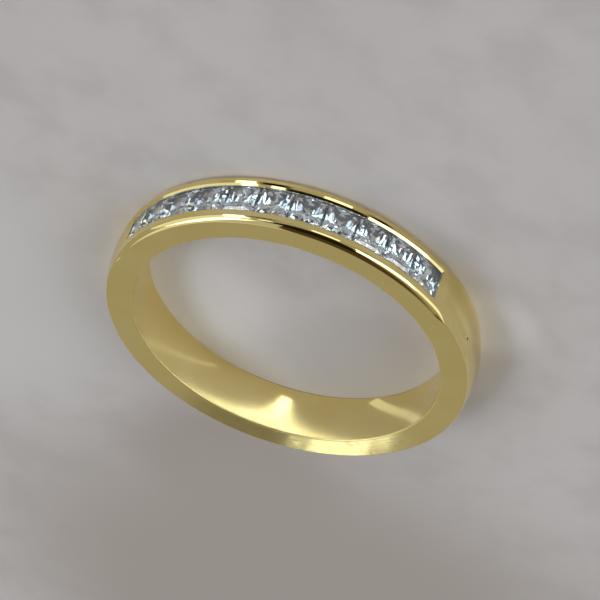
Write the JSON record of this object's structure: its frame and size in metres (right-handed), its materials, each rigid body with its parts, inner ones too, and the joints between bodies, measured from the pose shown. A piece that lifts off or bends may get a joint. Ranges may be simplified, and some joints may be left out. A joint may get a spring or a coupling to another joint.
{
  "type": "half eternity ring",
  "caption": "Half eternity ring: a domed, polished gold band for a finger, with square princess-cut diamonds channel-set edge to edge around its front half.",
  "frame": {"origin": "the finger hole's axis, at the side face that the ring rests on", "axes": "+Z along the finger hole, up from the surface that the ring lies on; -Y towards the middle of the row of stones"},
  "size_m": [0.0204, 0.0203, 0.003],
  "materials": {
    "gold": "polished",
    "diamond": "polished"
  },
  "bodies": {
    "root": {"band": "gold", "stone_01": "diamond", "stone_02": "diamond", "stone_03": "diamond", "stone_04": "diamond", "stone_05": "diamond", "stone_06": "diamond", "stone_07": "diamond", "stone_08": "diamond", "stone_09": "diamond", "stone_10": "diamond", "stone_11": "diamond"}
  },
  "joints": []
}
